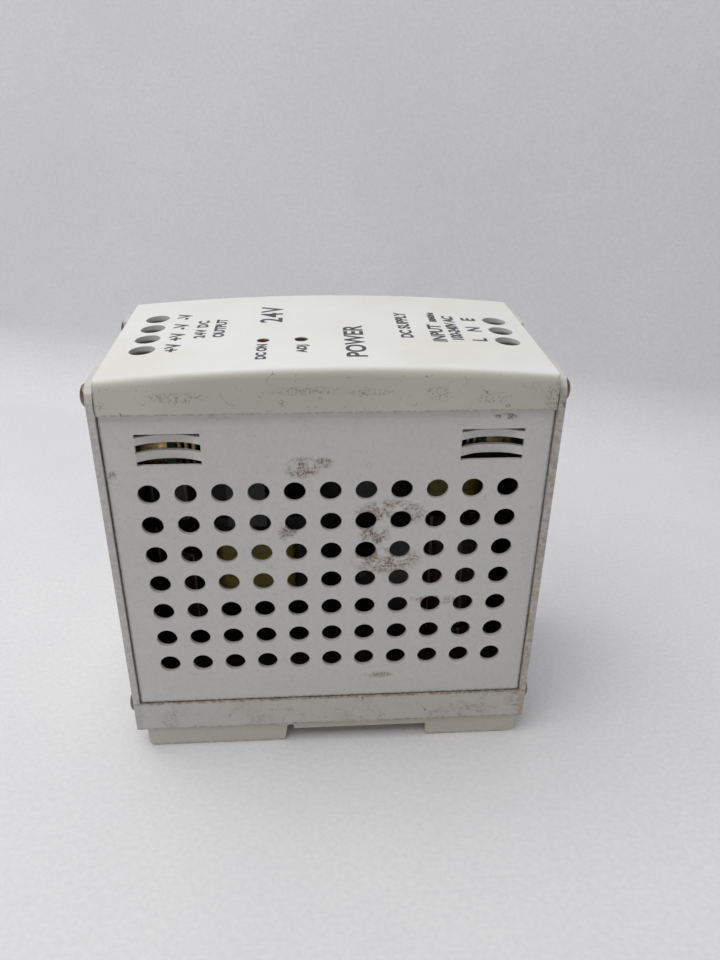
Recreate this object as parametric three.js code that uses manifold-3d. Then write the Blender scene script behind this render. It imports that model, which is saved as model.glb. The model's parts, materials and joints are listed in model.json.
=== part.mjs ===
// DIN rail power supply: a perforated metal case on a clip-on rail foot, with its boards inside.
// Millimetres. X runs from the output end (-X) to the input end (+X), Y from the near side panel
// to the far one, and Z from the rail side up to the labelled cover. The origin is the middle of
// the footprint, at the bottom of the feet.
import * as THREE from 'three';
import { mergeVertices } from 'three/addons/utils/BufferGeometryUtils.js';
import Module from 'manifold-3d';

const wasm = await Module();
wasm.setup();

// ---- Driving dimensions ----
const caseLength = 96.2;
const caseWidth = 54;
const coverEndHeight = 98.1;
const coverCrown = 2.1;
const railWidth = 35;
const railSeat = 3.85;
const railCentre = 6.15;
const ventPitch = 7.62;
const ventRadius = 2.35;
const ventColumns = 11;
const ventRows = 7;
const ventSides = 10;
const plate = 1.5;
const sheet = 1;
const terminalPitch = 7.3;

// ---- Clearances ----
const touch = 0.05;
const fit = 0.2;

// ---- Levels and faces shared by several pieces ----
const halfLength = caseLength / 2;
const halfWidth = caseWidth / 2;
const endInner = halfLength - plate;
const skirtWall = 0.85;
const panelFace = halfWidth - 1;
const panelInner = panelFace - sheet;
const bandFace = panelFace + 0.4;
const bandWall = 1.2;
const adapterTop = railSeat + 2.45;
const baseBottom = adapterTop + touch;
const baseTop = baseBottom + plate;
const bandTop = baseTop + 6.65;
const panelBottom = bandTop + 0.4;
const skirtBottom = coverEndHeight - 7.4;
const coverTopWall = 1.6;
const coverUnderside = coverEndHeight - coverTopWall;
const coverEnd = endInner - 0.4;
const earTop = coverEndHeight - 1.3;

// Case screws: four on each end plate.
const caseScrewY = panelFace - 4.7;
const lowerScrewZ = baseTop + 3.4;
const upperScrewZ = skirtBottom + 2.3;
const screwShank = 1.45;
const screwHole = 1.6;

// Boards.
const boardThickness = 1.6;
const mainBoardFace = halfWidth - 13;
const mainBoardBack = mainBoardFace + boardThickness;
const mainBoardBottom = baseTop + 1.2;
const frontBoardTop = coverEndHeight - 26;
const frontBoardBottom = frontBoardTop - boardThickness;
const mainBoardTop = frontBoardBottom - 0.4;
const partsTop = mainBoardTop - 1;
const mainBoardEnd = endInner - 0.8;
const frontBoardEnd = endInner - 1.3;
const boardScrewX = endInner - 3.2;
const boardScrewZ = 43;
const lugFace = mainBoardBack + touch;

// Terminals. Offsets along X are counted from the screw, positive towards the inside.
const blockFront = -7.2;
const blockBack = 5.3;
const outputRow = { inward: 1, x: 0.4 - endInner - blockFront, count: 4, centre: 0 };
const inputRow = { inward: -1, x: endInner + 0.3 + blockFront, count: 3, centre: 0 };
const blockBottom = frontBoardTop + touch;
const blockTop = blockBottom + 15.2;
const chamberFront = -2.5;
const chamberBack = 3.9;
const chamberWall = 0.65;
const chamberHalfY = terminalPitch / 2 - chamberWall;
const chamberBottom = blockBottom + 0.95;
const chamberTop = chamberBottom + 10.1;
const wireHalfWidth = chamberHalfY - 1.1;
const barHalfWidth = chamberHalfY - 1.2;
const barBottom = chamberBottom + 5;
const barTop = barBottom + 0.8;
const cageHalfY = chamberHalfY - fit;
const cageWall = 0.8;
const cageRoof = 1.2;
const cageBottom = chamberBottom + fit;
const cageWindowTop = barTop + 0.4;
const clampShank = 1.7;
const clampHead = 2.5;
const shoulder = chamberTop + 1;
const screwOpening = 2.75;

// Output trimmer and power LED, both under the cover.
const trimmer = { x: -5.6, y: 17.1 - panelFace, half: 3.5, top: frontBoardTop + 7 };
const led = { x: -13.7, y: 17 - panelFace, radius: 1.45 };

// ---- Modelling helpers ----
const roundSides = 12;
const cornerSteps = 3;

function toSolid(geometry, place) {
  if (place) geometry.applyMatrix4(place);
  geometry.deleteAttribute('normal');
  geometry.deleteAttribute('uv');
  const welded = mergeVertices(geometry, 1e-4);
  const faces = [];
  for (let corner = 0; corner < welded.index.count; corner += 3) {
    const [a, b, c] = welded.index.array.slice(corner, corner + 3);
    if (a !== b && b !== c && c !== a) faces.push(a, b, c);
  }
  return new wasm.Manifold(new wasm.Mesh({
    numProp: 3,
    vertProperties: new Float32Array(welded.attributes.position.array),
    triVerts: Uint32Array.from(faces),
  }));
}

function joined(pieces) {
  return pieces.reduce((whole, piece) => whole.add(piece));
}

function cut(body, tools) {
  return tools.reduce((rest, tool) => rest.subtract(tool), body);
}

function block([x0, x1], [y0, y1], [z0, z1], place) {
  const size = [x1 - x0, y1 - y0, z1 - z0].map(Math.abs);
  const geometry = new THREE.BoxGeometry(...size);
  geometry.translate((x0 + x1) / 2, (y0 + y1) / 2, (z0 + z1) / 2);
  return toSolid(geometry, place);
}

// Outline points from corners [u, v] or [u, v, radius].
function outline(corners) {
  const at = (index) => {
    const [u, v] = corners[(index + corners.length) % corners.length];
    return new THREE.Vector2(u, v);
  };
  return corners.flatMap(([, , radius], index) => {
    const corner = at(index);
    if (!radius) return [corner];
    const before = at(index - 1).sub(corner).normalize();
    const after = at(index + 1).sub(corner).normalize();
    const halfAngle = Math.acos(before.dot(after)) / 2;
    const inward = before.clone().add(after).normalize();
    const centre = corner.clone().addScaledVector(inward, radius / Math.sin(halfAngle));
    const start = corner.clone().addScaledVector(before, radius / Math.tan(halfAngle)).sub(centre);
    const turn = Math.sign(before.cross(after)) * (Math.PI - 2 * halfAngle);
    return Array.from({ length: cornerSteps + 1 }, (_, step) => start.clone()
      .rotateAround(new THREE.Vector2(), -turn * step / cornerSteps)
      .add(centre));
  });
}

function circle(u, v, radius, sides = roundSides) {
  return Array.from({ length: sides }, (_, side) => {
    const angle = (side + 0.5) * 2 * Math.PI / sides;
    return new THREE.Vector2(u + radius * Math.cos(angle), v + radius * Math.sin(angle));
  });
}

const right = new THREE.Vector3(1, 0, 0);
const away = new THREE.Vector3(0, 1, 0);
const up = new THREE.Vector3(0, 0, 1);

// A flat outline drawn in the named plane and given a thickness between two faces.
function slab(plane, points, [from, to], holes = [], steps = 1) {
  const shape = new THREE.Shape(points);
  shape.holes = holes.map((hole) => new THREE.Path(hole));
  const settings = { depth: to - from, bevelEnabled: false, steps };
  const geometry = new THREE.ExtrudeGeometry(shape, settings);
  const place = new THREE.Matrix4();
  if (plane === 'xy') place.makeTranslation(0, 0, from);
  if (plane === 'yz') place.makeBasis(away, up, right).setPosition(from, 0, 0);
  if (plane === 'xz') place.makeBasis(right, up, away.clone().negate()).setPosition(0, to, 0);
  geometry.applyMatrix4(place);
  return geometry;
}

function slabSolid(...settings) {
  return toSolid(slab(...settings));
}

// A body of revolution from [radius, height] points, bottom first, with its axis along +Z.
function turned(profile, place, sides = roundSides) {
  const points = profile.map(([radius, height]) => new THREE.Vector2(radius, height));
  const geometry = new THREE.LatheGeometry(points, sides);
  geometry.rotateX(Math.PI / 2);
  return toSolid(geometry, place);
}

function rod(radius, [from, to], place, sides = roundSides) {
  return turned([[0, from], [radius, from], [radius, to], [0, to]], place, sides);
}

// Puts a piece built along +Z at a point, facing a direction.
function facing(direction, x, y, z) {
  const turn = new THREE.Quaternion().setFromUnitVectors(up, direction);
  return new THREE.Matrix4().compose(new THREE.Vector3(x, y, z), turn, new THREE.Vector3(1, 1, 1));
}

const group = new THREE.Group();
group.name = 'din_rail_power_supply';

function addPart(name, body, look) {
  const { vertProperties, triVerts } = body.getMesh();
  const geometry = new THREE.BufferGeometry();
  geometry.setAttribute('position', new THREE.BufferAttribute(vertProperties, 3));
  geometry.setIndex(new THREE.BufferAttribute(triVerts, 1));
  geometry.computeVertexNormals();
  const mesh = new THREE.Mesh(geometry, new THREE.MeshStandardMaterial({ ...look, flatShading: true }));
  mesh.name = name;
  group.add(mesh);
}

// ---- Finishes ----
const ivoryPaint = { color: 0xd9d6cb, roughness: 0.5, metalness: 0 };
const coverPlastic = { color: 0xdedbd0, roughness: 0.45, metalness: 0 };
const beigePlastic = { color: 0xcdc7ba, roughness: 0.55, metalness: 0 };
const platedSteel = { color: 0xb6b5b2, roughness: 0.35, metalness: 1 };
const springSteel = { color: 0x8d8f92, roughness: 0.3, metalness: 1 };
const brass = { color: 0xc7a254, roughness: 0.35, metalness: 1 };
const aluminium = { color: 0xa9acaf, roughness: 0.4, metalness: 1 };
const blackPlastic = { color: 0x1c1c1d, roughness: 0.5, metalness: 0 };
const ferrite = { color: 0x2a2a2c, roughness: 0.6, metalness: 0 };
const yellowTape = { color: 0xb9a02c, roughness: 0.4, metalness: 0 };
const boardGreen = { color: 0x3f5a34, roughness: 0.5, metalness: 0 };
const sleeveBrown = { color: 0x4a3b33, roughness: 0.35, metalness: 0 };
const bluePlastic = { color: 0x35608f, roughness: 0.5, metalness: 0 };
const greyPlastic = { color: 0x5d6062, roughness: 0.5, metalness: 0 };
const greenPlastic = { color: 0x2f5a43, roughness: 0.5, metalness: 0 };
const whitePlastic = { color: 0xe9e6dc, roughness: 0.5, metalness: 0 };
const greenLens = { color: 0x7fbf7a, roughness: 0.2, metalness: 0 };

// ---- Case ----
// A notch in the top of each end plate leaves the terminals open to the side.
function endPlateOutline(row) {
  const notchHalf = row.count * terminalPitch / 2 + 0.5;
  const notchFloor = blockBottom - 0.5;
  const notch = [row.centre - notchHalf, row.centre + notchHalf];
  const earCorner = (earWidth) => Math.min(3.5, earWidth - 0.5);
  return outline([
    [-bandFace, baseBottom],
    [bandFace, baseBottom],
    [bandFace, earTop, earCorner(bandFace - notch[1])],
    [notch[1], earTop],
    [notch[1], notchFloor],
    [notch[0], notchFloor],
    [notch[0], earTop],
    [-bandFace, earTop, earCorner(notch[0] + bandFace)],
  ]);
}

function caseScrewHoles() {
  return [-caseScrewY, caseScrewY].flatMap((y) => (
    [lowerScrewZ, upperScrewZ].map((z) => circle(y, z, screwHole))));
}

// Lug bent in from an end plate, which the main board is screwed to.
function boardLug(side) {
  const lug = block([side * boardScrewX - side * 3, side * (endInner + 0.1)],
    [lugFace, lugFace + bandWall], [boardScrewZ - 4, boardScrewZ + 4]);
  const hole = rod(screwHole, [-3, 3], facing(away, side * boardScrewX, lugFace, boardScrewZ));
  return lug.subtract(hole);
}

function makeChassis() {
  const overlap = 0.1;
  const span = [-endInner - overlap, endInner + overlap];
  const holes = caseScrewHoles();
  const base = block(span, [-bandFace, bandFace], [baseBottom, baseTop]);
  const nearBand = block(span, [-bandFace, bandWall - bandFace], [baseBottom, bandTop]);
  const farBand = block(span, [bandFace - bandWall, bandFace], [baseBottom, bandTop]);
  const outputEnd = slabSolid('yz', endPlateOutline(outputRow), [-halfLength, -endInner], holes);
  const inputEnd = slabSolid('yz', endPlateOutline(inputRow), [endInner, halfLength], holes);
  const body = joined([base, nearBand, farBand, outputEnd, inputEnd, boardLug(-1), boardLug(1)]);
  return cut(body, adapterScrewSpots().map(({ x, y }) => (
    rod(screwHole, [baseBottom - 1, baseTop + 1], facing(up, x, y, 0)))));
}

// Side panel: a shallow tray with a turned-in flange at each end for the case screws.
const flangeInner = caseScrewY - 2.9;
const panelEnd = endInner - 0.1;
const panelTop = coverUnderside - 1.3;
const flangeBottom = baseTop + 0.25;

// Louvre: stacked bowed strips in a window; each gap and strip is [height of its top, height].
const louvreHalf = 6.6;
const louvreCentres = [-33.1, 33.9];
const louvreTop = skirtBottom - 4.5;
const louvreHeight = 7.2;
const strips = [[0.8, 2.5], [4.3, 6.2]];
const stripBow = 1.7;
const stripSlope = 3.2;

function louvreStrip(centre, side, [stripTop, stripBottom]) {
  const out = side * panelFace;
  const inn = side * panelInner;
  const bow = -side * stripBow;
  const end = louvreHalf + 0.5;
  const flat = louvreHalf - stripSlope;
  const profile = [
    [centre - end, out], [centre - louvreHalf, out], [centre - flat, out + bow],
    [centre + flat, out + bow], [centre + louvreHalf, out], [centre + end, out],
    [centre + end, inn], [centre + louvreHalf, inn], [centre + flat, inn + bow],
    [centre - flat, inn + bow], [centre - louvreHalf, inn], [centre - end, inn],
  ];
  return slabSolid('xy', outline(profile), [louvreTop - stripBottom, louvreTop - stripTop]);
}

function ventDrills() {
  const middle = { column: (ventColumns - 1) / 2, row: (ventRows - 1) / 2 };
  const centreZ = panelBottom + 34.5;
  const drills = [];
  for (let row = 0; row < ventRows; row += 1) {
    for (let column = 0; column < ventColumns; column += 1) {
      const x = (column - middle.column) * ventPitch;
      const place = facing(away, x, 0, centreZ + (row - middle.row) * ventPitch);
      drills.push(rod(ventRadius, [-halfWidth - 1, halfWidth + 1], place, ventSides));
    }
  }
  return drills;
}

function makeSidePanel(side) {
  const faces = [side * panelFace, side * panelInner].sort((a, b) => a - b);
  const bend = 0.7;
  const face = outline([
    [-panelEnd, panelBottom], [panelEnd, panelBottom], [panelEnd, panelTop], [-panelEnd, panelTop],
  ]);
  const windows = louvreCentres.map((centre) => block([centre - louvreHalf, centre + louvreHalf],
    [-halfWidth - 1, halfWidth + 1], [louvreTop - louvreHeight, louvreTop]));
  const front = cut(slabSolid('xz', face, faces), [...windows, ...ventDrills()]);
  const flanges = [-1, 1].map((end) => {
    const flange = block([end * (panelEnd - sheet), end * panelEnd],
      [side * (panelFace - 0.5), side * flangeInner], [flangeBottom, panelTop]);
    const foot = block([end * (panelEnd - sheet - 1), end * (panelEnd + 1)],
      [side * (panelFace + 1), side * panelInner], [flangeBottom - 1, panelBottom]);
    const holes = [lowerScrewZ, upperScrewZ].map((z) => (
      rod(screwHole, [-2, 2], facing(right, end * panelEnd, side * caseScrewY, z))));
    return cut(flange, [foot, ...holes]);
  });
  const louvres = louvreCentres.flatMap((centre) => (
    strips.map((strip) => louvreStrip(centre, side, strip))));
  const bends = [-1, 1].map((end) => slabSolid('xy', outline([
    [end * panelEnd, side * (panelFace - bend)],
    [end * (panelEnd + 1), side * (panelFace - bend)],
    [end * (panelEnd + 1), side * (panelFace + 1)],
    [end * (panelEnd - bend), side * (panelFace + 1)],
    [end * (panelEnd - bend), side * panelFace],
  ]), [panelBottom - 1, panelTop + 1]));
  return cut(joined([front, ...flanges, ...louvres]), bends);
}

// Height the arched cover gains over its ends at a distance x from the middle.
function crown(x) {
  return coverCrown * (1 - (x / coverEnd) ** 2);
}

// Wall hung from one end of the cover, closing the notch above the terminals.
function coverEndWall(row) {
  const half = row.count * terminalPitch / 2 + 0.1;
  return block([-row.inward * (coverEnd - 1.2), -row.inward * coverEnd],
    [row.centre - half, row.centre + half], [blockTop + 0.2, coverUnderside + 0.4]);
}

function terminalSpots(row) {
  return Array.from({ length: row.count }, (_, index) => ({
    x: row.x,
    y: row.centre + (index - (row.count - 1) / 2) * terminalPitch,
  }));
}

function makeCover() {
  const skirtInner = halfWidth - skirtWall;
  const section = outline([
    [-halfWidth, skirtBottom], [-skirtInner, skirtBottom], [-skirtInner, coverUnderside, 1.2],
    [skirtInner, coverUnderside, 1.2], [skirtInner, skirtBottom], [halfWidth, skirtBottom],
    [halfWidth, coverEndHeight, 2.2], [-halfWidth, coverEndHeight, 2.2],
  ]);
  const shell = slab('yz', section, [-coverEnd, coverEnd], [], 14);
  const points = shell.attributes.position;
  for (let index = 0; index < points.count; index += 1) {
    const z = points.getZ(index);
    if (z > skirtBottom + touch) points.setZ(index, z + crown(points.getX(index)));
  }
  const bosses = [-1, 1].flatMap((end) => [-1, 1].map((side) => {
    const boss = block([end * (panelEnd - sheet - fit), end * (panelEnd - 9)],
      [side * (flangeInner + 0.1), side * (panelInner - 0.3)], [upperScrewZ - 4.5, coverEndHeight - 0.6]);
    const hole = rod(screwHole, [-9, 1], facing(right.clone().multiplyScalar(end),
      end * panelEnd, side * caseScrewY, upperScrewZ));
    return boss.subtract(hole);
  }));
  const above = coverEndHeight + coverCrown + 1;
  const drill = (x, y, radius) => rod(radius, [blockTop, above], facing(up, x, y, 0));
  const screws = [outputRow, inputRow].flatMap(terminalSpots);
  const screwHoles = screws.map(({ x, y }) => drill(x, y, screwOpening));
  const sleeves = screws.map(({ x, y }) => (
    rod(screwOpening + 0.7, [blockTop + 0.4, coverUnderside + crown(x) + 0.5], facing(up, x, y, 0))));
  const endWalls = [outputRow, inputRow].map(coverEndWall);
  const ledHole = drill(led.x, led.y, 1.35);
  const trimmerHole = drill(trimmer.x, trimmer.y, 1.45);
  const clipped = 0.8;
  const corners = [-1, 1].map((end) => slabSolid('xz', outline([
    [end * (coverEnd - clipped), skirtBottom],
    [end * (coverEnd + 1), skirtBottom - 1],
    [end * coverEnd, skirtBottom + clipped],
  ]), [-halfWidth - 1, halfWidth + 1]));
  const body = joined([toSolid(shell), ...bosses, ...sleeves, ...endWalls]);
  return cut(body, [...screwHoles, ledHole, trimmerHole, ...corners]);
}

// ---- Screws ----
function makeScrew({ head, headHeight, shank, length, recess }, place) {
  const body = turned([
    [0, -length], [shank, -length], [shank, 0], [head, 0],
    [head, headHeight * 0.5], [head * 0.72, headHeight * 0.92], [0, headHeight],
  ], place);
  const depth = [headHeight * 0.45, headHeight + 1];
  const wide = head * 0.55;
  const narrow = 0.4;
  const slots = [block([-wide, wide], [-narrow, narrow], depth, place)];
  if (recess === 'cross') slots.push(block([-narrow, narrow], [-wide, wide], depth, place));
  return cut(body, slots);
}

const caseScrew = { head: 2.5, headHeight: 1.8, shank: screwShank, length: 7, recess: 'cross' };
const boardScrew = { head: 2.5, headHeight: 1.8, shank: screwShank, length: 3.4, recess: 'cross' };
const adapterScrew = { head: 2.6, headHeight: 1.6, shank: screwShank, length: 4.6, recess: 'cross' };

function addCaseScrews() {
  for (const [end, endName] of [[-1, 'output'], [1, 'input']]) {
    for (const [side, sideName] of [[-1, 'near'], [1, 'far']]) {
      for (const [z, level] of [[lowerScrewZ, 'lower'], [upperScrewZ, 'upper']]) {
        const outward = right.clone().multiplyScalar(end);
        const place = facing(outward, end * (halfLength + touch), side * caseScrewY, z);
        addPart(`case_screw_${endName}_${sideName}_${level}`, makeScrew(caseScrew, place), platedSteel);
      }
    }
  }
}

// ---- Rail foot ----
const railGap = railWidth + 0.1;
const hookSide = railCentre - railGap / 2;
const latchSide = railCentre + railGap / 2;
const adapterEnd = halfLength - 1.5;
const latchNose = latchSide - 2.1;
const channel = { halfNarrow: 6.2, halfWide: 8.2, split: railSeat - 1, top: railSeat + 1.45 };
const springSpan = [latchSide + 5.8, latchSide + 15.8];
const postThickness = 1.5;
const counterbore = { radius: 2.9, depth: 3.6 };

function adapterScrewSpots() {
  const rightX = (latchSide + adapterEnd) / 2;
  const spots = [
    { name: 'output', x: (hookSide - adapterEnd) / 2, y: 0 },
    { name: 'input_near', x: rightX, y: -17 },
    { name: 'input_far', x: rightX, y: 17 },
  ];
  return spots;
}

function makeAdapter() {
  const halfDepth = bandFace - 1;
  const profile = outline([
    [-adapterEnd + 0.8, 0, 1.5], [hookSide - 0.6, 0, 0.4], [hookSide, railSeat],
    [latchSide, railSeat], [latchSide, 0, 0.4], [adapterEnd - 1.4, 0], [adapterEnd, 1.4],
    [adapterEnd, adapterTop], [-adapterEnd + 0.8, adapterTop],
  ]);
  const body = slabSolid('xz', profile, [-halfDepth, halfDepth]);
  const lip = slabSolid('xz', outline([
    [hookSide - 0.8, 0], [hookSide + 1, 0], [hookSide + 1.7, 0.9],
    [hookSide + 1.7, 2.4], [hookSide - 0.8, 2.4],
  ]), [-12, 12]);
  const relief = slabSolid('xz', outline([
    [hookSide, 2.5, 0.8], [hookSide + 1.8, 2.5, 0.8],
    [hookSide + 1.8, railSeat + 1.35, 0.8], [hookSide, railSeat + 1.35, 0.8],
  ]), [-halfDepth - 1, halfDepth + 1]);
  const narrow = block([latchSide - 1, adapterEnd + 1],
    [-channel.halfNarrow, channel.halfNarrow], [-1, channel.split + 0.1]);
  const wide = block([latchNose - 0.3, adapterEnd + 1],
    [-channel.halfWide, channel.halfWide], [channel.split, channel.top]);
  const post = block([springSpan[1], springSpan[1] + postThickness], [-2.2, 2.2],
    [0.6, channel.top + 0.1]);
  const bores = adapterScrewSpots().flatMap(({ x, y }) => [
    rod(counterbore.radius, [-1, counterbore.depth], facing(up, x, y, 0)),
    rod(screwHole, [0, adapterTop + 1], facing(up, x, y, 0)),
  ]);
  return joined([cut(body.add(lip), [relief, narrow, wide, ...bores]), post]);
}

function makeLatch() {
  const bottom = 0.5;
  const wingBottom = channel.split + 0.15;
  const top = channel.top - fit;
  const shoulderX = latchSide + 0.7;
  const tab = halfLength + 1.75;
  const tongue = slabSolid('xz', outline([
    [latchNose, 1.6], [latchNose + 1.1, bottom], [tab, bottom, 0.6], [tab, top, 0.6],
    [shoulderX, top], [shoulderX, channel.split - 0.2], [latchNose, channel.split - 0.2],
  ]), [-channel.halfNarrow + fit, channel.halfNarrow - fit]);
  const wings = block([shoulderX, adapterEnd], [-channel.halfWide + fit, channel.halfWide - fit],
    [wingBottom, top]);
  const springWindow = block([springSpan[0], springSpan[1] + postThickness + 0.3], [-2.5, 2.5],
    [bottom - 1, top + 1]);
  const driverSlot = block([tab - 2.4, tab - 1.1], [-2.5, 2.5], [bottom - 1, top + 1]);
  return cut(tongue.add(wings), [springWindow, driverSlot]);
}

// Compression spring along X: a round wire swept on a helix, with closed ends.
function makeSpring() {
  const [from, to] = [springSpan[0] + 0.1, springSpan[1] - 0.1];
  const wire = 0.3;
  const coil = 1.5;
  const turns = 6;
  const stationsPerTurn = 8;
  const wireSides = 5;
  const axisZ = (0.5 + channel.top) / 2;
  const stations = turns * stationsPerTurn;
  const travel = to - from - 2 * wire;
  const vertices = [];
  const faces = [];
  for (let station = 0; station <= stations; station += 1) {
    const angle = 2 * Math.PI * station / stationsPerTurn;
    const outward = new THREE.Vector3(0, Math.cos(angle), Math.sin(angle));
    const centre = outward.clone().multiplyScalar(coil);
    centre.add(new THREE.Vector3(from + wire + travel * station / stations, 0, axisZ));
    for (let side = 0; side < wireSides; side += 1) {
      const around = 2 * Math.PI * side / wireSides;
      const point = centre.clone().addScaledVector(outward, wire * Math.cos(around));
      point.addScaledVector(right, wire * Math.sin(around));
      vertices.push(point.x, point.y, point.z);
    }
  }
  for (let station = 0; station < stations; station += 1) {
    for (let side = 0; side < wireSides; side += 1) {
      const next = (side + 1) % wireSides;
      const low = station * wireSides;
      const high = low + wireSides;
      faces.push(low + side, high + next, low + next, low + side, high + side, high + next);
    }
  }
  const last = stations * wireSides;
  for (let side = 1; side < wireSides - 1; side += 1) {
    faces.push(0, side, side + 1, last, last + side + 1, last + side);
  }
  const geometry = new THREE.BufferGeometry();
  geometry.setAttribute('position', new THREE.Float32BufferAttribute(vertices, 3));
  geometry.setIndex(faces);
  return toSolid(geometry);
}

function addRailFoot() {
  addPart('rail_adapter', makeAdapter(), beigePlastic);
  addPart('rail_latch', makeLatch(), beigePlastic);
  addPart('latch_spring', makeSpring(), springSteel);
  for (const { name, x, y } of adapterScrewSpots()) {
    const place = facing(up.clone().negate(), x, y, counterbore.depth - touch);
    addPart(`adapter_screw_${name}`, makeScrew(adapterScrew, place), platedSteel);
  }
}

// ---- Boards ----
const tabHalf = 3;
const tabCentres = [-24, 24];

function makeMainBoard() {
  const body = block([-mainBoardEnd, mainBoardEnd], [mainBoardFace, mainBoardBack],
    [mainBoardBottom, mainBoardTop]);
  const tabs = tabCentres.map((x) => block([x - tabHalf, x + tabHalf],
    [mainBoardFace, mainBoardBack], [mainBoardTop - 1, frontBoardTop + 1]));
  const holes = [-1, 1].map((side) => rod(screwHole, [-3, 3],
    facing(away, side * boardScrewX, mainBoardFace, boardScrewZ)));
  return cut(joined([body, ...tabs]), holes);
}

function makeFrontBoard() {
  const body = block([-frontBoardEnd, frontBoardEnd], [14 - halfWidth, halfWidth - 8],
    [frontBoardBottom, frontBoardTop]);
  const slots = tabCentres.map((x) => block([x - tabHalf - 0.1, x + tabHalf + 0.1],
    [mainBoardFace - 0.1, mainBoardBack + 0.1], [frontBoardBottom - 1, frontBoardTop + 1]));
  return cut(body, slots);
}

function addBoards() {
  addPart('main_circuit_board', makeMainBoard(), boardGreen);
  addPart('front_circuit_board', makeFrontBoard(), boardGreen);
  for (const [side, name] of [[-1, 'output'], [1, 'input']]) {
    const place = facing(away.clone().negate(), side * boardScrewX, mainBoardFace - touch, boardScrewZ);
    addPart(`board_screw_${name}`, makeScrew(boardScrew, place), platedSteel);
  }
}

// ---- Terminals ----
// A box at a terminal, from offsets along X (inwards positive), across Y, and heights.
function atTerminal(row, y, [near, far], halfY, heights) {
  return block([row.x + row.inward * near, row.x + row.inward * far], [y - halfY, y + halfY], heights);
}

function makeTerminalBlock(row) {
  const halfBlock = row.count * terminalPitch / 2;
  const body = atTerminal(row, row.centre, [blockFront, blockBack], halfBlock, [blockBottom, blockTop]);
  const entry = [cageBottom + cageWall, barBottom];
  const mouth = [entry[0] - 0.5, entry[1] + 0.5];
  const sideWindow = atTerminal(row, row.centre, [chamberFront + 0.3, chamberBack - 0.3],
    halfBlock + 1, [chamberBottom + 0.3, barTop + 1]);
  const cavities = terminalSpots(row).flatMap(({ x, y }) => [
    atTerminal(row, y, [chamberFront, chamberBack], chamberHalfY, [chamberBottom, chamberTop]),
    atTerminal(row, y, [blockFront - 1, 0], wireHalfWidth, entry),
    atTerminal(row, y, [blockFront - 1, blockFront + 0.8], wireHalfWidth + 0.7, mouth),
    atTerminal(row, y, [0, blockBack + 1], barHalfWidth + 0.1, [barBottom - 0.1, barTop + 0.1]),
    rod(clampShank + fit, [chamberTop - 1, shoulder + 1], facing(up, x, y, 0)),
    rod(clampHead + 0.25, [shoulder, blockTop + 1], facing(up, x, y, 0)),
  ]);
  const innerWalls = atTerminal(row, row.centre, [chamberFront - 1, chamberBack + 1],
    halfBlock - 1, [chamberBottom - 1, barTop + 2]);
  return cut(body, [...cavities, sideWindow.subtract(innerWalls)]);
}

function makeClampCage(row, { x, y }) {
  const frame = outline([
    [y - cageHalfY, cageBottom], [y + cageHalfY, cageBottom],
    [y + cageHalfY, cageWindowTop + cageRoof], [y - cageHalfY, cageWindowTop + cageRoof],
  ]);
  const inside = cageHalfY - cageWall;
  const window = outline([
    [y - inside, cageBottom + cageWall], [y + inside, cageBottom + cageWall],
    [y + inside, cageWindowTop], [y - inside, cageWindowTop],
  ]);
  const ends = [x + row.inward * (chamberFront + fit), x + row.inward * (chamberBack - fit)];
  const cage = slabSolid('yz', frame, ends.sort((a, b) => a - b), [window]);
  const bore = rod(clampShank + 0.15, [cageWindowTop - 1, cageWindowTop + cageRoof + 1],
    facing(up, x, y, 0));
  return cage.subtract(bore);
}

function makeTerminalScrew({ x, y }) {
  const head = { head: clampHead, headHeight: 2.2, shank: clampShank, recess: 'slot' };
  const length = shoulder + touch - (barTop + touch);
  return makeScrew({ ...head, length }, facing(up, x, y, shoulder + touch));
}

// Bar under the screw, with solder tails behind the block down to the front board.
function makeContact(row, { y }) {
  const tails = [0.2, 1.8, 3.4].map((gap) => blockBack + gap);
  const tailWidth = 0.7;
  const barEnd = tails[tails.length - 1] + tailWidth;
  const bar = atTerminal(row, y, [-2.1, barEnd], barHalfWidth, [barBottom, barTop]);
  return joined([bar, ...tails.map((start) => atTerminal(row, y, [start, start + tailWidth],
    barHalfWidth, [frontBoardTop + touch, barTop]))]);
}

function addTerminals(prefix, row) {
  addPart(`${prefix}_terminal_block`, makeTerminalBlock(row), greenPlastic);
  terminalSpots(row).forEach((spot, index) => {
    const label = `${prefix}_${index + 1}`;
    addPart(`terminal_screw_${label}`, makeTerminalScrew(spot), platedSteel);
    addPart(`clamp_cage_${label}`, makeClampCage(row, spot), brass);
    addPart(`contact_${label}`, makeContact(row, spot), brass);
  });
}

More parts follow.
